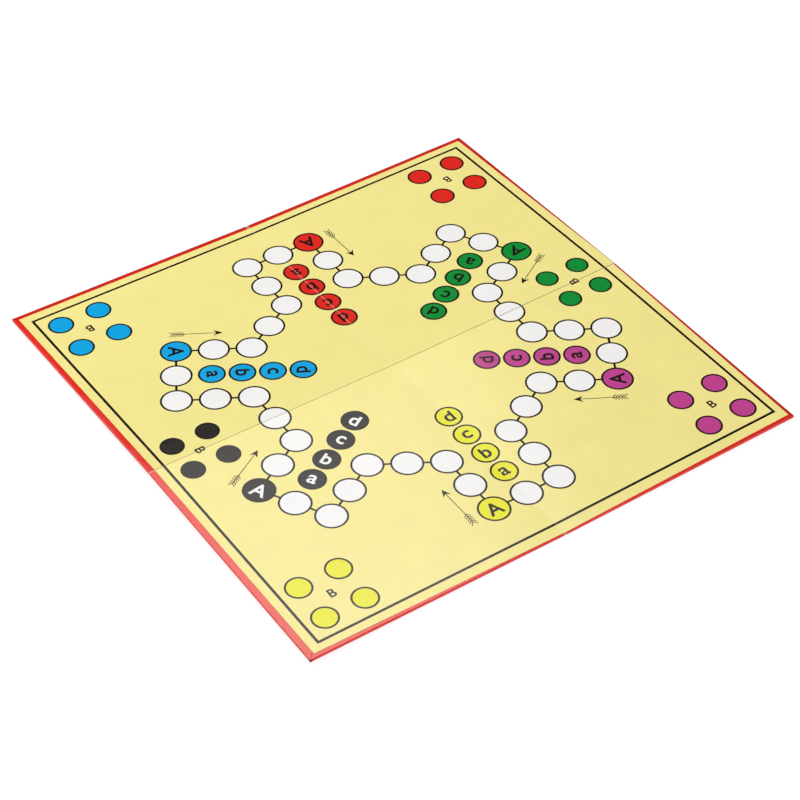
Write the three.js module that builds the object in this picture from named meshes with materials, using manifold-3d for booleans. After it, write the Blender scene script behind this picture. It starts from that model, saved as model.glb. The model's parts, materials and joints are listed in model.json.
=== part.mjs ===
// A folding game board of four panels, in millimetres, +Z up, face side up.
// Each panel is a greyboard core, a lining that covers the back and turns round the two outer edges
// on to the face, and a printed face sheet. The panels hang together by three paper creases: two folds
// that close face to face (x = 0) and one that closes back to back (y = 0, left half). The right half
// of the line y = 0 is a slit right through.
// It stands as it lies on a table: each fold a little short of flat.
import * as THREE from 'three';
import { mergeVertices } from 'three/addons/utils/BufferGeometryUtils.js';
import Module from 'manifold-3d';

// Driving dimensions
const boardSide = 400;
const coreThickness = 2.1;
const liningThickness = 0.2;
const faceThickness = 0.2;
const glueLine = 0.05;
const edgeRadius = 0.45;
const edgeSegments = 6;
const turnIn = 14;
const mitreGap = 0.3;
const valleyGap = 0.8;
const ridgeGap = 0.3;
const slitGap = 0.3;
const creaseClearance = 0.05;
const hingeClearance = 0.15;
const valleyAngle = 1.2;
const ridgeAngle = 1.9;
const overrun = 5;

// Border of lining left showing round the face sheet, which lies a little out of true: on each panel
// its width at the board's corner and at the fold, along the front or rear edge and along the side edge.
const borders = {
  rear_left: { edgeAtCorner: 4.1, edgeAtFold: 4.5, sideAtCorner: 3.7, sideAtFold: 4.4 },
  rear_right: { edgeAtCorner: 4.1, edgeAtFold: 4.5, sideAtCorner: 3.8, sideAtFold: 0.8 },
  front_left: { edgeAtCorner: 3.3, edgeAtFold: 0.7, sideAtCorner: 5, sideAtFold: 4.4 },
  front_right: { edgeAtCorner: 2.9, edgeAtFold: 0.7, sideAtCorner: 3, sideAtFold: 1.8 },
};

// Levels and half sizes that follow from them
const half = boardSide / 2;
const coreBottom = liningThickness + glueLine;
const coreTop = coreBottom + coreThickness;
const rebateFloor = coreTop - liningThickness - glueLine;
const faceBottom = coreTop + glueLine;
const faceTop = faceBottom + faceThickness;
const innerX = valleyGap / 2;
const innerYLeft = ridgeGap / 2;
const innerYRight = slitGap / 2;

const greyboard = { color: 0x9a9184, roughness: 0.9, metalness: 0 };
const liningPaper = { color: 0xdf2a1f, roughness: 0.5, metalness: 0 };
const facePaper = { color: 0xf3e796, roughness: 0.45, metalness: 0 };

const wasm = await Module();
wasm.setup();

function toSolid(geometry) {
  geometry.deleteAttribute('normal');
  geometry.deleteAttribute('uv');
  const merged = mergeVertices(geometry);
  return new wasm.Manifold(
    new wasm.Mesh({
      numProp: 3,
      vertProperties: new Float32Array(merged.attributes.position.array),
      triVerts: new Uint32Array(merged.index.array),
    }),
  );
}

function toGeometry(solid) {
  const mesh = solid.getMesh();
  const geometry = new THREE.BufferGeometry();
  geometry.setAttribute('position', new THREE.BufferAttribute(mesh.vertProperties, 3));
  geometry.setIndex(new THREE.BufferAttribute(mesh.triVerts, 1));
  geometry.computeVertexNormals();
  return geometry;
}

function boxBetween(low, high) {
  const size = new THREE.Vector3().subVectors(high, low);
  const middle = new THREE.Vector3().addVectors(low, high).divideScalar(2);
  return new THREE.BoxGeometry(size.x, size.y, size.z).translate(middle.x, middle.y, middle.z);
}

// Section of a panel from its fold to its outer edge, the outer edge rounded above and below.
function edgeProfile(inner, outer, bottom, top, radius) {
  const shape = new THREE.Shape();
  shape.moveTo(inner, bottom);
  shape.lineTo(outer - radius, bottom);
  shape.absarc(outer - radius, bottom + radius, radius, -Math.PI / 2, 0, false);
  shape.absarc(outer - radius, top - radius, radius, 0, Math.PI / 2, false);
  shape.lineTo(inner, top);
  shape.closePath();
  return shape;
}

// The profile drawn out along one axis, with its own x along the other and its own y upwards.
function drawnOut(profile, across, along) {
  const depth = boardSide + 2 * overrun;
  const options = { depth, curveSegments: edgeSegments, bevelEnabled: false };
  const geometry = new THREE.ExtrudeGeometry(profile, options);
  const up = new THREE.Vector3(0, 0, 1);
  geometry.translate(0, 0, -depth / 2);
  geometry.applyMatrix4(new THREE.Matrix4().makeBasis(across, up, along));
  return toSolid(geometry);
}

// Two drawn-out profiles cut each other to a panel whose rounded edges meet in a mitre at the corner.
function roundedPanel(fromX, fromY, outer, bottom, top, radius) {
  const xAxis = new THREE.Vector3(1, 0, 0);
  const yAxis = new THREE.Vector3(0, 1, 0);
  const backAxis = new THREE.Vector3(0, -1, 0);
  const acrossX = drawnOut(edgeProfile(fromX, outer, bottom, top, radius), xAxis, backAxis);
  const acrossY = drawnOut(edgeProfile(fromY, outer, bottom, top, radius), yAxis, xAxis);
  return acrossX.intersect(acrossY);
}

// Greyboard of the panel in the +x +y quarter, pressed down along its outer edges to seat the turn-ins.
function coreGeometry(innerY) {
  const outer = half - liningThickness - glueLine;
  const radius = edgeRadius - liningThickness - glueLine;
  const plateauEdge = half - turnIn - glueLine;
  const pressed = roundedPanel(innerX, innerY, outer, coreBottom, rebateFloor, radius);
  const plateau = boxBetween(
    new THREE.Vector3(innerX, innerY, coreBottom),
    new THREE.Vector3(plateauEdge, plateauEdge, coreTop),
  );
  return toGeometry(pressed.add(toSolid(plateau)));
}

// Lining of the same quarter: back sheet, two edge walls and two turn-ins that meet in an open mitre.
function liningGeometry(innerY) {
  const skin = roundedPanel(innerX, innerY, half, 0, coreTop, edgeRadius);
  const cavity = roundedPanel(
    -overrun,
    -overrun,
    half - liningThickness,
    liningThickness,
    coreTop - liningThickness,
    edgeRadius - liningThickness,
  );
  const turnInEdge = half - turnIn;
  const opening = boxBetween(
    new THREE.Vector3(-overrun, -overrun, rebateFloor),
    new THREE.Vector3(turnInEdge, turnInEdge, coreTop + overrun),
  );
  const mitreLength = (turnIn - edgeRadius) * Math.SQRT2;
  const mitreMiddle = half - (turnIn + edgeRadius) / 2;
  const mitre = new THREE.BoxGeometry(mitreLength, mitreGap, 2 * liningThickness)
    .rotateZ(Math.PI / 4)
    .translate(mitreMiddle, mitreMiddle, coreTop);
  return toGeometry(skin.subtract(cavity).subtract(toSolid(opening)).subtract(toSolid(mitre)));
}

// Face sheet of one panel, trimmed to its own border widths.
function faceGeometry(place, innerY) {
  const border = borders[place];
  const shape = new THREE.Shape();
  shape.moveTo(innerX, innerY);
  shape.lineTo(half - border.sideAtFold, innerY);
  shape.lineTo(half - border.sideAtCorner, half - border.edgeAtCorner);
  shape.lineTo(innerX, half - border.edgeAtFold);
  shape.closePath();
  const options = { depth: faceThickness, bevelEnabled: false };
  return new THREE.ExtrudeGeometry(shape, options).translate(0, 0, faceBottom);
}

// Strip of face sheet over a face-to-face fold, from the cut line y = 0 to the sheet's edge.
function faceCreaseGeometry(place) {
  const reach = innerX - creaseClearance;
  return boxBetween(
    new THREE.Vector3(-reach, innerYLeft, faceBottom),
    new THREE.Vector3(reach, half - borders[place].edgeAtFold, faceTop),
  );
}

// Strip of lining over the back-to-back fold, from the board's left edge to its middle.
function liningCreaseGeometry() {
  const reach = innerYLeft - creaseClearance;
  return boxBetween(
    new THREE.Vector3(innerX, -reach, 0),
    new THREE.Vector3(half - edgeRadius, reach, liningThickness),
  );
}

// Geometry is drawn in the +x +y quarter and mirrored to its own by the mesh's scale.
function addPiece(group, name, geometry, finish, sideX, sideY) {
  const mesh = new THREE.Mesh(geometry, new THREE.MeshStandardMaterial(finish));
  mesh.name = name;
  mesh.scale.set(sideX, sideY, 1);
  group.add(mesh);
}

// A group that keeps the flat board's coordinates and turns about a hinge line through pivot.
function turnedGroup(parent, pivot, axis, degrees) {
  const hinge = new THREE.Group();
  hinge.position.copy(pivot);
  hinge.quaternion.setFromAxisAngle(axis, THREE.MathUtils.degToRad(degrees));
  const flat = new THREE.Group();
  flat.position.copy(pivot).negate();
  hinge.add(flat);
  parent.add(hinge);
  return flat;
}

function addPanel(group, place, sideX, sideY) {
  const innerY = sideX < 0 ? innerYLeft : innerYRight;
  const core = coreGeometry(innerY);
  const lining = liningGeometry(innerY);
  const face = faceGeometry(place, innerY);
  addPiece(group, `greyboard_${place}`, core, greyboard, sideX, sideY);
  addPiece(group, `lining_${place}`, lining, liningPaper, sideX, sideY);
  addPiece(group, `face_${place}`, face, facePaper, sideX, sideY);
}

const board = new THREE.Group();
const assembly = new THREE.Group();
board.add(assembly);

const middle = new THREE.Vector3();
const faceHinge = new THREE.Vector3(0, 0, faceTop + hingeClearance);
const backHinge = new THREE.Vector3(0, 0, -hingeClearance);
const alongX = new THREE.Vector3(1, 0, 0);
const alongY = new THREE.Vector3(0, 1, 0);
const foldUp = new THREE.Vector3(0, -1, 0);

const leaning = turnedGroup(assembly, middle, alongX, -ridgeAngle / 2);
const rearLeft = turnedGroup(leaning, middle, alongY, valleyAngle / 2);
const rearRight = turnedGroup(rearLeft, faceHinge, foldUp, valleyAngle);
const frontLeft = turnedGroup(rearLeft, backHinge, alongX, ridgeAngle);
const frontRight = turnedGroup(frontLeft, faceHinge, foldUp, valleyAngle);

addPanel(rearLeft, 'rear_left', -1, 1);
addPanel(rearRight, 'rear_right', 1, 1);
addPanel(frontLeft, 'front_left', -1, -1);
addPanel(frontRight, 'front_right', 1, -1);
addPiece(rearLeft, 'face_crease_rear', faceCreaseGeometry('rear_left'), facePaper, 1, 1);
addPiece(frontLeft, 'face_crease_front', faceCreaseGeometry('front_left'), facePaper, 1, -1);
addPiece(rearLeft, 'lining_crease_left', liningCreaseGeometry(), liningPaper, -1, 1);

// The lowest edge stands on z = 0 and the whole is centred on the origin.
const box = new THREE.Box3().setFromObject(assembly, true);
assembly.position.set(-(box.min.x + box.max.x) / 2, -(box.min.y + box.max.y) / 2, -box.min.z);

export default board;
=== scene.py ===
import json
import math

import bmesh
import bpy
from mathutils import Matrix, Quaternion, Vector
from mathutils.geometry import delaunay_2d_cdt

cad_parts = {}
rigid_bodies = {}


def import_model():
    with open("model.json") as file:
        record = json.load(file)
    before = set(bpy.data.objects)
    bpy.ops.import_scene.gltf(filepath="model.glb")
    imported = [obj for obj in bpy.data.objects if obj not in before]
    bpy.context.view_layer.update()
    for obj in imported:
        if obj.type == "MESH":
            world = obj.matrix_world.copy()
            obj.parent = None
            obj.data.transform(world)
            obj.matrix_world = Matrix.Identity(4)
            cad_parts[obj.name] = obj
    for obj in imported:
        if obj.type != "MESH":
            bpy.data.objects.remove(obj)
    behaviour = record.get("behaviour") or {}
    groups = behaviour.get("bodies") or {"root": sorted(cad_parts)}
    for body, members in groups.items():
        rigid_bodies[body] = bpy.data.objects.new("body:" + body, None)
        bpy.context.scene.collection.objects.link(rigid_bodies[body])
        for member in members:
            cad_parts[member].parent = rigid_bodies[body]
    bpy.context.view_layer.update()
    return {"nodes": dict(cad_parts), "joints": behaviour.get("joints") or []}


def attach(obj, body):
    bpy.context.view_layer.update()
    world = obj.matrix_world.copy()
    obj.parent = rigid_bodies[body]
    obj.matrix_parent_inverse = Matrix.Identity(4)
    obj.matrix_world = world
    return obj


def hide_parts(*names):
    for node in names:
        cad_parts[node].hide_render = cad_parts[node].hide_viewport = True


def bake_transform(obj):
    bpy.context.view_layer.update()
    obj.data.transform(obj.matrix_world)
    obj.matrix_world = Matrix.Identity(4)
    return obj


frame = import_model()
joints = {joint["name"]: joint for joint in frame["joints"]}
nodes = frame["nodes"]
mm = 0.001
print("frame loaded:", len(nodes), "nodes,", len(joints), "folds")


# Where the four panels lie

folding = {
    "hingeClearance": 0.15 * mm,  # from the back of the board to the left fold's axis
    "places": ("rear_left", "rear_right", "front_left", "front_right"),
    "foldAngles": {name: -joint["range_deg"][0] for name, joint in joints.items()},  # short of flat
    "cornerDigits": 3,  # of a millimetre, to tell a sheet's corners apart
}


def turnAbout(joint, degrees):
    pivot = Matrix.Translation(Vector(joint["pos_m"]))
    turn = Matrix.Rotation(math.radians(degrees), 4, Vector(joint["axis"]))
    return pivot @ turn @ pivot.inverted()


# Each matrix takes a point of the flat board, in millimetres, to its place on a panel at rest.
def panelMatrices():
    along = -Vector(joints["fold_rear"]["axis"]).normalized()
    up = Vector(joints["fold_left"]["axis"]).cross(along).normalized()
    across = along.cross(up)
    origin = Vector(joints["fold_left"]["pos_m"]) + folding["hingeClearance"] * up
    root = Matrix((across, along, up)).transposed().to_4x4()
    root.translation = origin
    panels = {"rear_left": root}
    for name in ("fold_rear", "fold_left", "fold_front"):
        joint = joints[name]
        panels[joint["child"]] = turnAbout(joint, folding["foldAngles"][name]) @ panels[joint["parent"]]
    return {place: matrix @ Matrix.Scale(mm, 4) for place, matrix in panels.items()}


panels = panelMatrices()


# Points of a node's mesh in the flat board's millimetres.
def flatPoints(node, place):
    back = panels[place].inverted()
    return [back @ vertex.co for vertex in nodes[node].data.vertices]


def sheetOf(node, place):
    points = flatPoints(node, place)
    top = max(point.z for point in points)
    bottom = min(point.z for point in points)
    middle = sum(points, Vector()) / len(points)
    digits = folding["cornerDigits"]
    corners = {(round(point.x, digits), round(point.y, digits)) for point in points}
    ordered = sorted(corners, key=lambda corner: math.atan2(corner[1] - middle.y, corner[0] - middle.x))
    return {"outline": [Vector(corner) for corner in ordered], "bottom": bottom, "top": top}


def addObject(name, data):
    thing = bpy.data.objects.new(name, data)
    bpy.context.scene.collection.objects.link(thing)
    return thing


# Node materials

noises = {
    "middle": (0.3, 0.7),  # where most of a noise's values lie
    "mixedMiddle": (0.35, 0.65),  # the same for two noises added
}


def startTree(name):
    material = bpy.data.materials.new(name)
    material.use_nodes = True
    tree = material.node_tree
    tree.nodes.clear()
    return material, tree, tree.nodes.new("ShaderNodeOutputMaterial")


def startMaterial(name):
    material, tree, output = startTree(name)
    shader = tree.nodes.new("ShaderNodeBsdfPrincipled")
    tree.links.new(shader.outputs["BSDF"], output.inputs["Surface"])
    return material, tree, shader


# Each input is a value to set or another node's output to link.
def addNode(tree, kind, inputs=None, **settings):
    node = tree.nodes.new(kind)
    for key, value in settings.items():
        setattr(node, key, value)
    for key, value in (inputs or {}).items():
        if isinstance(value, bpy.types.NodeSocket):
            tree.links.new(value, node.inputs[key])
        else:
            node.inputs[key].default_value = value
    return node


def addMath(tree, operation, first, second=0.0):
    return addNode(tree, "ShaderNodeMath", {0: first, 1: second}, operation=operation).outputs[0]


def addNoise(tree, where, scale, detail=3.0, roughness=0.55):
    inputs = {"Vector": where, "Scale": scale, "Detail": detail, "Roughness": roughness}
    return addNode(tree, "ShaderNodeTexNoise", inputs).outputs["Fac"]


def addSpan(tree, value, fromLow, fromHigh, low=0.0, high=1.0):
    inputs = {"Value": value, "From Min": fromLow, "From Max": fromHigh, "To Min": low, "To Max": high}
    return addNode(tree, "ShaderNodeMapRange", inputs).outputs["Result"]


# Spreads a noise's values over a range.
def addSpread(tree, noise, low=0.0, high=1.0):
    return addSpan(tree, noise, *noises["middle"], low, high)


# Slow clouds and fine fibre together, as the strength of an ink or a dye.
def addStrength(tree, cloud, fibre, fibreShare):
    slow = addMath(tree, "MULTIPLY", cloud, 1 - fibreShare)
    fine = addMath(tree, "MULTIPLY", fibre, fibreShare)
    return addSpan(tree, addMath(tree, "ADD", slow, fine), *noises["mixedMiddle"])


# Inputs 6 and 7 and output 2 are the mix node's colour sockets.
def addMix(tree, factor, first, second):
    return addNode(tree, "ShaderNodeMix", {0: factor, 6: first, 7: second}, data_type="RGBA").outputs[2]


def addBump(tree, height, distance, under=None):
    inputs = {"Height": height, "Distance": distance}
    if under is not None:
        inputs["Normal"] = under
    return addNode(tree, "ShaderNodeBump", inputs).outputs["Normal"]


# Colour as seen on a screen, 0 to 255, as the linear value that a shader takes.
def seen(red, green, blue):
    def linear(level):
        share = level / 255
        return share / 12.92 if share <= 0.04045 else ((share + 0.055) / 1.055) ** 2.4
    return (linear(red), linear(green), linear(blue), 1.0)


def shaded(colour, factor):
    return tuple(channel * factor for channel in colour[:3]) + (1.0,)


printing = {
    "inks": {
        "ground": seen(244, 231, 145),
        "white": seen(244, 242, 240),
        "black": seen(18, 4, 0),
        "blackDisc": seen(32, 26, 21),
        "blue": seen(0, 163, 224),
        "red": seen(222, 36, 25),
        "green": seen(0, 140, 51),
        "magenta": seen(190, 66, 141),
        "yellow": seen(234, 230, 28),
    },
    "density": 0.025,  # how far the ink's strength wanders
    "cloud": (0.035,),  # noises have a scale per millimetre, then detail and roughness
    "fibre": (2.6, 6.0, 0.7),
    "fibreShare": 0.4,
    "sheen": (0.12, 4.0),
    "roughness": (0.12, 0.18),
    "tooth": 0.0025 * mm,
    "cockle": (0.045, 2.0),
    "ripple": 0.05 * mm,
    "wornInk": seen(252, 246, 214),
    "wornShare": 0.24,
    "wornRoughness": 0.5,
    "wornReach": (0.5, 0.1),  # millimetres from the fold line where wear starts and where it is full
    "crack": (1.1, 4.0),
    "crackWander": (-0.2, 0.2),
}


# Offset print under a satin varnish, cracked pale along the two folds that close face to face.
def inkMaterial(name, colour):
    material, tree, shader = startMaterial("ink_" + name)
    where = addNode(tree, "ShaderNodeUVMap", uv_map="sheet").outputs["UV"]
    cloud = addNoise(tree, where, *printing["cloud"])
    fibre = addNoise(tree, where, *printing["fibre"])
    strength = addStrength(tree, cloud, fibre, printing["fibreShare"])
    thin = shaded(colour, 1 - printing["density"])
    full = shaded(colour, 1 + printing["density"])
    inked = addMix(tree, strength, thin, full)
    parts = addNode(tree, "ShaderNodeSeparateXYZ", {"Vector": where})
    offFold = addMath(tree, "ABSOLUTE", parts.outputs["X"])
    crack = addSpread(tree, addNoise(tree, where, *printing["crack"]), *printing["crackWander"])
    ragged = addMath(tree, "ADD", offFold, crack)
    worn = addSpan(tree, ragged, *printing["wornReach"], 0.0, printing["wornShare"])
    tree.links.new(addMix(tree, worn, inked, printing["wornInk"]), shader.inputs["Base Color"])
    sheen = addSpread(tree, addNoise(tree, where, *printing["sheen"]), *printing["roughness"])
    dulled = addMath(tree, "MULTIPLY", worn, printing["wornRoughness"])
    tree.links.new(addMath(tree, "ADD", sheen, dulled), shader.inputs["Roughness"])
    ripple = addBump(tree, addNoise(tree, where, *printing["cockle"]), printing["ripple"])
    tooth = addBump(tree, fibre, printing["tooth"], ripple)
    tree.links.new(tooth, shader.inputs["Normal"])
    return material


paperEdge = {
    "colour": seen(236, 228, 206),
    "shade": seen(206, 195, 168),
    "fibre": (2400.0, 6.0, 0.7),  # here and below, noises have a scale per metre
    "roughness": 0.85,
}


# Bare paper where the sheet is cut and on its glued side.
def paperMaterial():
    material, tree, shader = startMaterial("bare_paper")
    where = addNode(tree, "ShaderNodeTexCoord").outputs["Object"]
    fibre = addNoise(tree, where, *paperEdge["fibre"])
    colour = addMix(tree, addSpread(tree, fibre), paperEdge["shade"], paperEdge["colour"])
    tree.links.new(colour, shader.inputs["Base Color"])
    shader.inputs["Roughness"].default_value = paperEdge["roughness"]
    return material


lining = {
    "colour": seen(234, 32, 14),
    "deep": seen(220, 26, 11),
    "cloud": (22.0, 4.0),
    "fibre": (1900.0, 5.0, 0.7),
    "fibreShare": 0.45,
    "ior": 1.77,  # film-laminated, glossier than the print
    "glossTint": (1.0, 0.97, 0.86, 1.0),
    "specular": (0.5, 0.12),  # on the flats and on the handled edges
    "sheen": (90.0, 4.0),
    "roughness": (0.12, 0.2),
    "dullRoughness": 0.4,
    "grain": 0.003 * mm,
    "cockle": (40.0, 2.0),
    "ripple": 0.05 * mm,
    "edgeLevels": (0.97, 0.75),  # how level the paper is where an edge starts and where it is well rounded
    "wallLevels": (0.4, 0.1),  # and where it goes over into the upright wall
    "wallDullness": 0.5,  # share of the edges' dullness that the walls have
    # painted shade, on the rounded edges and along the rear and right borders
    "edgeShade": seen(112, 26, 16),
    "edgeShadePatches": (60.0, 5.0),
    "edgeShadeShare": (0.3, 0.6),
    "rim": (196.6 * mm, 199.2 * mm),  # from the middle: the rear and right borders get painted shade
    # painted shade on the wall under the tip of the front corner
    "tipShade": seen(70, 20, 14),
    "tip": (197.6 * mm, 199.2 * mm),  # from the middle: the wall at the tip of the front corner
    # pale scuffs on the rounded edges: partly wear and partly a painted highlight
    "scuffAndHighlight": seen(250, 190, 172),
    "scuffAndHighlightPatches": (160.0, 6.0, 0.65),
    "scuffAndHighlightRange": (0.52, 0.7),
    "scuffAndHighlightShare": 0.1,
    "cutReach": (1.2 * mm, 0.7 * mm),  # paleness beside the cuts at the folds along y and along x
    "cutCore": 0.5,  # share of that reach that is palest
    "cutShare": 0.8,
}


# Dyed lining paper, dull on its handled rounded edges, with painted shade on those edges, along the rear
# and right borders and at the front corner's tip, pale scuffs on the edges that are partly wear and partly
# a painted highlight, and pale where it is cut at a fold.
def liningMaterial(place):
    material, tree, shader = startMaterial("lining_" + place)
    coordinates = addNode(tree, "ShaderNodeTexCoord")
    where = coordinates.outputs["Object"]
    parts = addNode(tree, "ShaderNodeSeparateXYZ", {"Vector": where})
    cloud = addNoise(tree, where, *lining["cloud"])
    fibre = addNoise(tree, where, *lining["fibre"])
    strength = addStrength(tree, cloud, fibre, lining["fibreShare"])
    dyed = addMix(tree, strength, lining["deep"], lining["colour"])

    # Flats, rounded edges and walls, told apart by how level they are
    up = panels[place].to_3x3().col[2].normalized()
    directions = {0: coordinates.outputs["Normal"], 1: up}
    rise = addNode(tree, "ShaderNodeVectorMath", directions, operation="DOT_PRODUCT").outputs["Value"]
    level = addMath(tree, "ABSOLUTE", rise)
    edge = addSpan(tree, level, *lining["edgeLevels"])
    wall = addSpan(tree, level, *lining["wallLevels"])
    offWall = addSpan(tree, level, *reversed(lining["wallLevels"]))
    rounding = addMath(tree, "MULTIPLY", edge, offWall)

    # Painted shade on the rounded edges and along the rear and right borders, and on the wall at the tip
    # of the front corner
    toRearRight = addMath(tree, "MAXIMUM", parts.outputs["X"], parts.outputs["Y"])
    rim = addSpan(tree, toRearRight, *lining["rim"])
    shadedEdges = addMath(tree, "MULTIPLY", addMath(tree, "MAXIMUM", edge, rim), offWall)
    edgeShade = addSpread(tree, addNoise(tree, where, *lining["edgeShadePatches"]), *lining["edgeShadeShare"])
    edgeShaded = addMix(tree, addMath(tree, "MULTIPLY", shadedEdges, edgeShade), dyed, lining["edgeShade"])
    toFrontCorner = addMath(tree, "MULTIPLY", toRearRight, -1.0)
    tip = addMath(tree, "MULTIPLY", wall, addSpan(tree, toFrontCorner, *lining["tip"]))
    shadedLining = addMix(tree, tip, edgeShaded, lining["tipShade"])

    # Pale scuffs on the rounded edges, partly wear and partly a painted highlight, and paper laid bare
    # beside the cuts
    patches = addSpan(tree, addNoise(tree, where, *lining["scuffAndHighlightPatches"]), *lining["scuffAndHighlightRange"])
    scuffedAndHighlit = addMath(tree, "MULTIPLY", rounding, patches)
    pale = addMath(tree, "MULTIPLY", scuffedAndHighlit, lining["scuffAndHighlightShare"])
    for axis, reach in zip("XY", lining["cutReach"]):
        offCut = addMath(tree, "ABSOLUTE", parts.outputs[axis])
        cut = addSpan(tree, offCut, reach, lining["cutCore"] * reach, 0.0, lining["cutShare"])
        pale = addMath(tree, "MAXIMUM", pale, cut)
    tree.links.new(addMix(tree, pale, shadedLining, lining["scuffAndHighlight"]), shader.inputs["Base Color"])

    # Gloss, lower where the paper is handled
    dull = addMath(tree, "MAXIMUM", rounding, addMath(tree, "MULTIPLY", wall, lining["wallDullness"]))
    dull = addMath(tree, "MAXIMUM", dull, tip)
    specular = addSpan(tree, dull, 0.0, 1.0, *lining["specular"])
    tree.links.new(specular, shader.inputs["Specular IOR Level"])
    shader.inputs["IOR"].default_value = lining["ior"]
    shader.inputs["Specular Tint"].default_value = lining["glossTint"]
    sheen = addSpread(tree, addNoise(tree, where, *lining["sheen"]), *lining["roughness"])
    dulled = addMath(tree, "MULTIPLY", addMath(tree, "MAXIMUM", pale, dull), lining["dullRoughness"])
    tree.links.new(addMath(tree, "ADD", sheen, dulled), shader.inputs["Roughness"])
    ripple = addBump(tree, addNoise(tree, where, *lining["cockle"]), lining["ripple"])
    grain = addBump(tree, fibre, lining["grain"], ripple)
    tree.links.new(grain, shader.inputs["Normal"])
    return material


greyboard = {
    "pale": seen(150, 140, 122),
    "dark": seen(106, 97, 84),
    "pulp": (420.0, 6.0, 0.7),
    "layers": (1.0, 1.0, 6.0),  # the pulp is finer through the thickness
    "fleck": seen(78, 70, 60),
    "flecks": (900.0, 2.0),
    "fleckRange": (0.66, 0.74),
    "mitreShade": seen(58, 22, 16),  # painted shade, seen through the open mitres
    "mitreShadeReach": (184.0 * mm, 186.0 * mm),  # from both of the board's middle lines
    "roughness": 0.95,
    "fuzz": 0.06 * mm,
}


# Recycled pulp board: grey with darker flecks, a fuzzy cut edge and painted shade near the corners, seen
# through the open mitres.
def greyboardMaterial():
    material, tree, shader = startMaterial("greyboard_raw")
    where = addNode(tree, "ShaderNodeTexCoord").outputs["Object"]
    stretch = {"Vector": where, "Scale": greyboard["layers"]}
    layered = addNode(tree, "ShaderNodeMapping", stretch).outputs["Vector"]
    pulp = addNoise(tree, layered, *greyboard["pulp"])
    flecks = addSpan(tree, addNoise(tree, where, *greyboard["flecks"]), *greyboard["fleckRange"])
    mixed = addMix(tree, addSpread(tree, pulp), greyboard["dark"], greyboard["pale"])
    flecked = addMix(tree, flecks, mixed, greyboard["fleck"])
    parts = addNode(tree, "ShaderNodeSeparateXYZ", {"Vector": where})
    offMiddle = [addMath(tree, "ABSOLUTE", parts.outputs[axis]) for axis in "XY"]
    # painted shade near the corners, where the open mitres show the board
    mitreShaded = addSpan(tree, addMath(tree, "MINIMUM", *offMiddle), *greyboard["mitreShadeReach"])
    tree.links.new(addMix(tree, mitreShaded, flecked, greyboard["mitreShade"]), shader.inputs["Base Color"])
    shader.inputs["Roughness"].default_value = greyboard["roughness"]
    tree.links.new(addBump(tree, pulp, greyboard["fuzz"]), shader.inputs["Normal"])
    return material


def dress(node, material):
    nodes[node].data.materials.clear()
    nodes[node].data.materials.append(material)


inkNames = list(printing["inks"])
inkMaterials = [inkMaterial(name, colour) for name, colour in printing["inks"].items()]
barePaper = paperMaterial()
rawBoard = greyboardMaterial()
for place in folding["places"]:
    dress("lining_" + place, liningMaterial(place))
    dress("greyboard_" + place, rawBoard)
print("materials:", len(inkNames), "inks, bare paper, four linings, greyboard")


# The printed game, in millimetres on the flat board

track = {
    "centre": Vector((0.78, -0.53)),
    "turn": 0.18,  # degrees: the print lies a little out of true on the board
    "pitch": 27.09,
    "arms": ("red", "green", "magenta", "yellow", "blackDisc", "blue"),  # clockwise from the rear
    "armAngle": 60,  # degrees from arm to arm
    "fieldDiameter": 23.3,
    "goalDiameter": 20.0,
    "goalDistances": (130.1, 108.5, 86.9, 65.3),
    "outline": 1.48,
    "linkWidth": 1.7,
    "frameSide": 378.5,
    "frameWidth": 2.0,
    "circleSteps": 72,
}

homes = {
    "corner": 158.85,
    "cornerPitch": 30.75,
    "cornerDiameter": 19.2,
    "side": 160.65,
    "sidePitch": 27.9,
    "sideDiameter": 17.5,
    "blocks": {  # column, row, and the way that the letter's top points, in degrees from the rear
        "blue": (-1, 1, 180),
        "red": (1, 1, 180),
        "yellow": (-1, -1, 0),
        "magenta": (1, -1, 0),
        "blackDisc": (-1, 0, -90),
        "green": (1, 0, 90),
    },
    "sideRise": {"blackDisc": 1.0, "green": 0.4},
}

marks = {
    "start": 11.5,
    "goal": 8.1,  # without the upstroke of b and d
    "home": 7.3,
    "weight": 0.02,
    "upstroke": 0.6,  # share of the font's upstroke that is kept
    "steps": 5,
}

arrow = {
    "offset": 1.7,  # in field pitches from the arm's middle line
    "tail": 5.81,  # in field pitches from the centre
    "tip": 4.48,
    "shaft": 0.62,
    "headLength": 6.9,
    "headHalfWidth": 3.2,
    "headNotch": 4.6,
    "feathers": 5,
    "featherPitch": 2.1,
    "featherReach": 2.6,
    "featherStroke": 0.62,
}

prints = []  # ink and outline, in the order that they are printed
registration = Matrix.Rotation(math.radians(track["turn"]), 2)


def printArea(ink, outline):
    area = sum(a.cross(b) for a, b in zip(outline, outline[1:] + outline[:1]))
    points = outline if area > 0 else outline[::-1]
    prints.append((ink, [registration @ point + track["centre"] for point in points]))


def circle(middle, diameter):
    count = track["circleSteps"]
    angles = [math.tau * step / count for step in range(count)]
    return [middle + Vector((math.cos(angle), math.sin(angle))) * (diameter / 2) for angle in angles]


def printDisc(middle, diameter, ink):
    printArea("black", circle(middle, diameter))
    printArea(ink, circle(middle, diameter - 2 * track["outline"]))


def square(side):
    half = side / 2
    return [Vector(corner) for corner in ((-half, -half), (half, -half), (half, half), (-half, half))]


def stroke(start, end, width):
    side = (end - start).normalized().orthogonal() * (width / 2)
    return [start - side, end - side, end + side, start + side]


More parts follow.
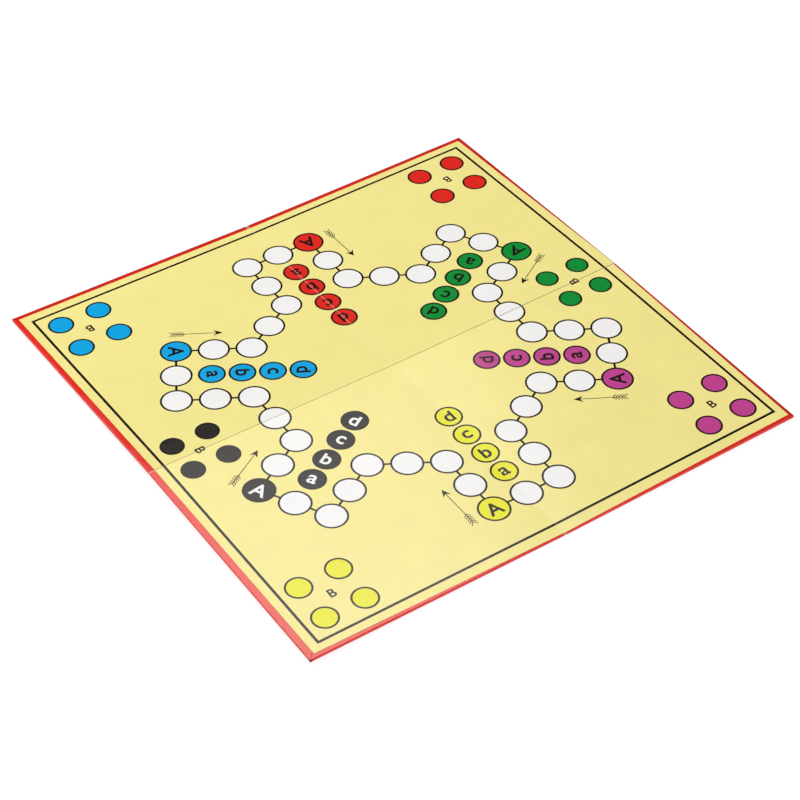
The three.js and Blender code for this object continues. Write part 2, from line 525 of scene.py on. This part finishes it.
# Closed outlines of one letter of Blender's own font, the outer one first.
def letterLoops(letter):
    curve = bpy.data.curves.new("letterOutline", "FONT")
    curve.body = letter
    curve.fill_mode = "FRONT"
    curve.resolution_u = marks["steps"]
    curve.offset = marks["weight"]
    holder = addObject("letterOutline", curve)
    mesh = holder.evaluated_get(bpy.context.evaluated_depsgraph_get()).to_mesh()
    sides = [side for face in mesh.polygons for side in face.edge_keys]
    follows = {}
    for a, b in sides:
        if sides.count((a, b)) == 1:
            follows.setdefault(a, []).append(b)
            follows.setdefault(b, []).append(a)
    points = [vertex.co.xy for vertex in mesh.vertices]
    loops, left = [], set(follows)
    while left:
        last, here, loop = None, min(left), []
        while here in left:
            left.remove(here)
            loop.append(points[here].copy())
            last, here = here, next((n for n in follows[here] if n != last and n in left), here)
        loops.append(loop)
    bpy.data.objects.remove(holder)
    bpy.data.curves.remove(curve)
    return sorted(loops, key=lambda loop: min(point.x for point in loop))


def loopBox(loops):
    xs = [point.x for loop in loops for point in loop]
    ys = [point.y for loop in loops for point in loop]
    return Vector((min(xs), min(ys))), Vector((max(xs), max(ys)))


letters = {letter: letterLoops(letter) for letter in "ABabcd"}
smallLow, smallHigh = loopBox(letters["c"])
for letter in "bd":
    for loop in letters[letter]:
        for point in loop:
            point.y -= max(0.0, point.y - smallHigh.y) * (1 - marks["upstroke"])


def printLetter(letter, middle, turn, height, ink, under):
    low, high = loopBox(letters[letter])
    size = height / (smallHigh.y - smallLow.y if letter.islower() else high.y - low.y)
    spin = Matrix.Rotation(turn, 2) * size
    for number, loop in enumerate(letters[letter]):
        outline = [middle + spin @ (point - (low + high) / 2) for point in loop]
        printArea(ink if number == 0 else under, outline)


# A feathered arrow beside the arm that turn takes to its place, pointing inwards.
def printArrow(turn):
    pitch = track["pitch"]
    tip = Vector((arrow["offset"] * pitch, arrow["tip"] * pitch))
    tail = Vector((arrow["offset"] * pitch, arrow["tail"] * pitch))
    out = Vector((0, 1))
    side = Vector((1, 0))
    notch = tip + out * arrow["headNotch"]
    barbs = [tip + out * arrow["headLength"] + side * way * arrow["headHalfWidth"] for way in (-1, 1)]
    areas = [stroke(notch, tail, arrow["shaft"]), [tip, barbs[0], notch, barbs[1]]]
    for number in range(arrow["feathers"]):
        root = tail - out * (arrow["featherPitch"] * number)
        for way in (-1, 1):
            end = root + (out + side * way) * arrow["featherReach"]
            areas.append(stroke(root, end, arrow["featherStroke"]))
    for area in areas:
        printArea("black", [turn @ point for point in area])


# Fields of one arm in the arm's own coordinates, y outwards and x to the player's left: three down its
# side, one between two arms, three up the next arm's side, and the middle one of the next arm's end.
def armFields():
    pitch = track["pitch"]
    reach = (4 + math.sqrt(3)) * pitch  # puts the field between two arms on their bisector
    rise = math.radians(track["armAngle"] / 2)
    inwards = Vector((math.cos(rise), -math.sin(rise)))
    outwards = Vector((math.cos(rise), math.sin(rise)))
    fields = [Vector((pitch, reach - pitch * step)) for step in range(3)]
    fields += [fields[-1] + inwards * (pitch * step) for step in (1, 2)]
    fields += [fields[-1] + outwards * (pitch * step) for step in (1, 2)]
    fields.append(Matrix.Rotation(math.radians(-track["armAngle"]), 2) @ Vector((0, reach)))
    return fields


def printTrack():
    fieldsOfArm = armFields()
    angles = [track["armAngle"] * number for number in range(len(track["arms"]))]
    turns = [Matrix.Rotation(math.radians(-angle), 2) for angle in angles]
    fields = [turn @ field for turn in turns for field in fieldsOfArm]
    overlap = track["fieldDiameter"] / 2 - track["outline"] / 2
    for here, there in zip(fields, fields[1:] + fields[:1]):
        step = (there - here).normalized() * overlap
        printArea("black", stroke(here + step, there - step, track["linkWidth"]))
    for angle, turn, ink in zip(angles, turns, track["arms"]):
        lettering = "white" if ink == "blackDisc" else "black"
        facing = math.radians(180 - angle)
        start = turn @ fieldsOfArm[0]
        printDisc(start, track["fieldDiameter"], ink)
        printLetter("A", start, facing, marks["start"], lettering, ink)
        for field in fieldsOfArm[1:]:
            printDisc(turn @ field, track["fieldDiameter"], "white")
        for letter, distance in zip("abcd", track["goalDistances"]):
            goal = turn @ Vector((0, distance))
            printDisc(goal, track["goalDiameter"], ink)
            printLetter(letter, goal, facing, marks["goal"], lettering, ink)
        printArrow(turn)


def printHomes():
    for ink, (column, row, facing) in homes["blocks"].items():
        if row:
            middle = Vector((column, row)) * homes["corner"]
            pitch, diameter = homes["cornerPitch"], homes["cornerDiameter"]
        else:
            middle = Vector((column * homes["side"], homes["sideRise"][ink]))
            pitch, diameter = homes["sidePitch"], homes["sideDiameter"]
        for offset in square(pitch):
            printDisc(middle + offset, diameter, ink)
        printLetter("B", middle, math.radians(facing), marks["home"], "black", "ground")


printArea("black", square(track["frameSide"] + track["frameWidth"]))
printArea("ground", square(track["frameSide"] - track["frameWidth"]))
printTrack()
printHomes()
print("print drawn:", len(prints), "areas")


# Printed sheets

sheets = {
    "tolerance": 1e-5,
    "insideOnly": 1,  # keeps the triangles that lie in a face
    "level": 0.5,  # a face whose normal rises or falls less belongs to the cut rim
    "creaseSteps": 10,
    "bakeTop": (0.005, 0.005, 0.93, 0.995),  # left, bottom, right and top on the piece's own map
    "bakeBack": (0.945, 0.005, 0.995, 0.2),
    "bakeRim": (0.945, 0.22, 0.995, 0.995),
}


def overlapping(outline, other):
    low, high = loopBox([outline])
    otherLow, otherHigh = loopBox([other])
    return low.x < otherHigh.x and otherLow.x < high.x and low.y < otherHigh.y and otherLow.y < high.y


# Points and triangles inside the faces, with the given points and faces that each came from.
def triangulate(points, edges, faces):
    found = delaunay_2d_cdt(points, edges, faces, sheets["insideOnly"], sheets["tolerance"], True)
    names = ("points", "edges", "triangles", "pointSources", "edgeSources", "faceSources")
    return dict(zip(names, found))


# Triangles of a sheet, each with the ink that was printed last over it.
def inkedTriangles(outline, creases):
    points, faces, inks = list(outline), [list(range(len(outline)))], ["ground"]
    for ink, area in prints:
        if overlapping(outline, area):
            faces.append(list(range(len(points), len(points) + len(area))))
            points.extend(area)
            inks.append(ink)
    edges = []
    for start, end in creases:
        edges.append((len(points), len(points) + 1))
        points.extend((start, end))
    found = triangulate(points, edges, faces)
    owned = zip(found["triangles"], found["faceSources"])
    return found["points"], [(corners, inks[max(owners)]) for corners, owners in owned if 0 in owners]


# Ordered rim of a patch of triangles that run the same way round.
def rimOf(triangles):
    sides = {side for corners, ink in triangles for side in zip(corners, corners[1:] + corners[:1])}
    follows = {a: b for a, b in sides if (b, a) not in sides}
    rim = [min(follows)]
    while follows[rim[-1]] != rim[0]:
        rim.append(follows[rim[-1]])
    return rim


# Two maps: flat millimetres for the print's nodes, and one that gives the printed side most of the room.
def mapSheet(build, sheet):
    flat = build.loops.layers.uv.new("sheet")
    packed = build.loops.layers.uv.new("OFBake")
    low, high = loopBox([sheet["outline"]])
    middle = (low + high) / 2
    build.normal_update()
    for face in build.faces:
        onRim = abs(face.normal.z) <= sheets["level"]
        side = "bakeRim" if onRim else "bakeTop" if face.normal.z > 0 else "bakeBack"
        left, bottom, right, top = sheets[side]
        centre = face.calc_center_median().xy - middle
        turn = math.atan2(centre.y, centre.x)
        for loop in face.loops:
            here = loop.vert.co
            loop[flat].uv = here.xy
            share = Vector(((here.x - low.x) / (high.x - low.x), (here.y - low.y) / (high.y - low.y)))
            if onRim:
                off = here.xy - middle
                around = math.atan2(off.y, off.x)
                around += round((turn - around) / math.tau) * math.tau
                share.x = (here.z - sheet["bottom"]) / (sheet["top"] - sheet["bottom"])
                share.y = min(max(0.5 + around / math.tau, 0.0), 1.0)
            loop[packed].uv = (left + (right - left) * share.x, bottom + (top - bottom) * share.y)


# A closed sheet of paper, its upper side divided into inked areas, still flat and in millimetres.
def printedSheet(name, sheet, creases=()):
    points, triangles = inkedTriangles(sheet["outline"], creases)
    rim = rimOf(triangles)
    used = {index for corners, ink in triangles for index in corners}
    build = bmesh.new()

    def addPoints(indices, height):
        return {index: build.verts.new((*points[index], height)) for index in sorted(indices)}

    top = addPoints(used, sheet["top"])
    for corners, ink in triangles:
        build.faces.new([top[index] for index in corners]).material_index = inkNames.index(ink)
    if creases:
        low = addPoints(used, sheet["bottom"])
        backs = [corners for corners, ink in triangles]
    else:
        low = addPoints(rim, sheet["bottom"])
        outline = [points[index] for index in rim]
        found = triangulate(outline, [], [list(range(len(rim)))])
        source = [rim[given[0]] for given in found["pointSources"]]
        backs = [[source[index] for index in corners] for corners in found["triangles"]]
    barePaperSlot = len(inkNames)
    for corners in backs:
        build.faces.new([low[index] for index in reversed(corners)]).material_index = barePaperSlot
    for here, there in zip(rim, rim[1:] + rim[:1]):
        build.faces.new((top[there], top[here], low[here], low[there])).material_index = barePaperSlot
    mapSheet(build, sheet)
    mesh = bpy.data.meshes.new(name)
    build.to_mesh(mesh)
    build.free()
    for material in inkMaterials + [barePaper]:
        mesh.materials.append(material)
    return addObject(name, mesh)


for place in folding["places"]:
    face = printedSheet("printed_face_" + place, sheetOf("face_" + place, place))
    face.data.transform(panels[place])
    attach(face, place)
    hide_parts("face_" + place)
    print("printed sheet", place, len(face.data.polygons), "faces")


# Folds

def smooth(share):
    return share * share * (3 - 2 * share)


# Bends a flat strip to its fold's angle at rest; across is 0 for a fold along y and 1 for one along x.
def layFold(piece, fold, across, start, end):
    joint = joints[fold]
    parent = panels[joint["parent"]]
    for vertex in piece.data.vertices:
        share = min(max((vertex.co[across] - start) / (end - start), 0.0), 1.0)
        vertex.co = turnAbout(joint, smooth(share) * folding["foldAngles"][fold]) @ parent @ vertex.co
    for value in (start, end):
        point = Vector((0, 0, 0))
        point[across] = value
    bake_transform(piece)


# The print runs on over the two folds that close face to face.
def faceFold(fold, node, place):
    sheet = sheetOf(node, place)
    low, high = loopBox([sheet["outline"]])
    left = max(point.x for point in flatPoints("face_" + joints[fold]["parent"], joints[fold]["parent"]))
    right = min(point.x for point in flatPoints("face_" + joints[fold]["child"], joints[fold]["child"]))
    corners = ((left, low.y), (right, low.y), (right, high.y), (left, high.y))
    sheet["outline"] = [Vector(corner) for corner in corners]
    steps = sheets["creaseSteps"]
    stations = [left + (right - left) * step / steps for step in range(1, steps)]
    creases = [(Vector((x, low.y)), Vector((x, high.y))) for x in stations]
    strip = printedSheet("printed_" + fold, sheet, creases)
    layFold(strip, fold, 0, left, right)
    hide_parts(node)


faceFold("fold_rear", "face_crease_rear", "rear_left")
faceFold("fold_front", "face_crease_front", "front_left")


# The lining runs on over the fold that closes back to back.
def liningFold(fold, node, place):
    points = flatPoints(node, place)
    rear = min(point.y for point in flatPoints("lining_rear_left", "rear_left"))
    front = max(point.y for point in flatPoints("lining_front_left", "front_left"))
    low = min(point.x for point in points)
    high = max(point.x for point in points)
    bottom = min(point.z for point in points)
    top = max(point.z for point in points)
    section = ((low, bottom), (high, bottom), (high, top), (low, top))
    build = bmesh.new()
    steps = sheets["creaseSteps"]
    rows = []
    for step in range(steps + 1):
        y = rear + (front - rear) * step / steps
        rows.append([build.verts.new((x, y, z)) for x, z in section])
    for here, there in zip(rows, rows[1:]):
        for a in range(len(section)):
            b = (a + 1) % len(section)
            build.faces.new((here[a], here[b], there[b], there[a]))
    build.faces.new(rows[0][::-1])
    build.faces.new(rows[-1])
    bmesh.ops.recalc_face_normals(build, faces=build.faces)
    mesh = bpy.data.meshes.new("lining_" + fold)
    build.to_mesh(mesh)
    build.free()
    mesh.materials.append(nodes["lining_rear_left"].data.materials[0])
    strip = addObject("lining_" + fold, mesh)
    layFold(strip, fold, 1, rear, front)
    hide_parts(node)


liningFold("fold_left", "lining_crease_left", "rear_left")
print("folds laid: two in the print, one in the lining")


# Studio

sweep = {
    "radius": 6.0,
    "rimHeight": 2.2,
    "rimCurve": 1.2,
    "rimSteps": 8,
    "steps": 96,
    "weld": 1e-5,
    "lit": (0.22, 0.22, 0.22, 1.0),
    "glow": (0.86, 1.0),  # under the board and beyond its shadow
    "glowReach": (0.5, 1.4),
    "bounce": (0.86, 0.86, 0.86, 1.0),
}


# White floor that curves up into a low rim all round.
def makeSweep():
    flatReach = sweep["radius"] - sweep["rimCurve"]
    profile = [(0.0, 0.0), (flatReach, 0.0)]
    for step in range(1, sweep["rimSteps"] + 1):
        angle = math.radians(90 * step / sweep["rimSteps"])
        reach = flatReach + sweep["rimCurve"] * math.sin(angle)
        profile.append((reach, sweep["rimCurve"] * (1 - math.cos(angle))))
    profile.append((sweep["radius"], sweep["rimHeight"]))
    build = bmesh.new()
    chain = [build.verts.new((reach, 0, height)) for reach, height in profile]
    edges = [build.edges.new(pair) for pair in zip(chain, chain[1:])]
    upAxis, middle = (0, 0, 1), (0, 0, 0)
    bmesh.ops.spin(
        build, geom=chain + edges, axis=upAxis, cent=middle, steps=sweep["steps"], angle=math.tau
    )
    bmesh.ops.remove_doubles(build, verts=build.verts, dist=sweep["weld"])
    bmesh.ops.recalc_face_normals(build, faces=build.faces)
    mesh = bpy.data.meshes.new("sweep")
    build.to_mesh(mesh)
    build.free()
    floor = addObject("sweep", mesh)
    return floor


# Seen directly or in a reflection it glows white and keeps the shadow; to other rays it is plain white.
def sweepMaterial():
    material, tree, output = startTree("sweep_white")
    path = tree.nodes.new("ShaderNodeLightPath")
    direct = path.outputs["Is Camera Ray"]
    for ray in ("Is Glossy Ray", "Is Transmission Ray"):
        direct = addMath(tree, "MAXIMUM", direct, path.outputs[ray])
    bounce = addNode(tree, "ShaderNodeBsdfDiffuse", {"Color": sweep["bounce"]})
    lit = addNode(tree, "ShaderNodeBsdfDiffuse", {"Color": sweep["lit"]})
    where = addNode(tree, "ShaderNodeTexCoord").outputs["Object"]
    away = addNode(tree, "ShaderNodeVectorMath", {0: where}, operation="LENGTH").outputs["Value"]
    strength = addSpan(tree, away, *sweep["glowReach"], *sweep["glow"])
    glow = addNode(tree, "ShaderNodeEmission", {"Strength": strength})
    shown = addNode(tree, "ShaderNodeAddShader", {0: lit.outputs[0], 1: glow.outputs[0]})
    mixed = addNode(tree, "ShaderNodeMixShader", {0: direct, 1: bounce.outputs[0], 2: shown.outputs[0]})
    tree.links.new(mixed.outputs[0], output.inputs["Surface"])
    return material


floor = makeSweep()
floor.data.materials.append(sweepMaterial())

studio = {
    "world": 0.1,
    "white": (1.0, 1.0, 1.0, 1.0),
    "boxes": {  # azimuth, elevation, distance, width, height, power in watts
        "back_softbox": (14.0, 72.0, 2.3, 1.7, 2.4, 22.5),
        "back_core": (26.0, 59.0, 2.35, 1.2, 0.8, 2.1),
        "rear_left_softbox": (335.0, 55.0, 1.25, 0.7, 0.7, 5.7),
        "front_softbox": (200.0, 18.0, 2.8, 1.8, 1.0, 30.0),
        "left_softbox": (268.0, 18.0, 2.6, 1.6, 1.0, 18.0),
        "right_softbox": (125.0, 40.0, 1.6, 1.0, 1.0, 4.5),
    },
}


# Unit vector from the board, at an azimuth clockwise from straight behind it and at an elevation.
def outFrom(azimuth, elevation):
    turn, lift = math.radians(azimuth), math.radians(elevation)
    return Vector((math.sin(turn) * math.cos(lift), math.cos(turn) * math.cos(lift), math.sin(lift)))


def makeStudio():
    world = bpy.data.worlds.new("studio")
    world.use_nodes = True
    background = world.node_tree.nodes["Background"]
    background.inputs["Color"].default_value = studio["white"]
    background.inputs["Strength"].default_value = studio["world"]
    bpy.context.scene.world = world
    for name, (azimuth, elevation, distance, width, height, power) in studio["boxes"].items():
        light = bpy.data.lights.new(name, "AREA")
        light.shape = "RECTANGLE"
        light.size = width
        light.size_y = height
        light.energy = power
        away = outFrom(azimuth, elevation)
        box = addObject(name, light)
        box.location = away * distance
        box.rotation_euler = away.to_track_quat("Z", "Y").to_euler()


makeStudio()

view = {
    "azimuth": 214.57,
    "elevation": 42.02,
    "roll": 0.1,
    "distance": 1627.3 * mm,
    "aim": Vector((-14.1, -28.1, 0.0)) * mm,
    "lens": 104.24,
    "sensor": 36.0,
}


def makeCamera():
    data = bpy.data.cameras.new("photo_view")
    data.lens = view["lens"]
    data.sensor_width = view["sensor"]
    away = outFrom(view["azimuth"], view["elevation"])
    roll = Quaternion((0.0, 0.0, 1.0), math.radians(view["roll"]))
    camera = addObject("photo_view", data)
    camera.location = view["aim"] + away * view["distance"]
    camera.rotation_euler = (away.to_track_quat("Z", "Y") @ roll).to_euler()
    bpy.context.scene.camera = camera


makeCamera()
bpy.context.scene.view_settings.view_transform = "Standard"
print("studio and camera set")
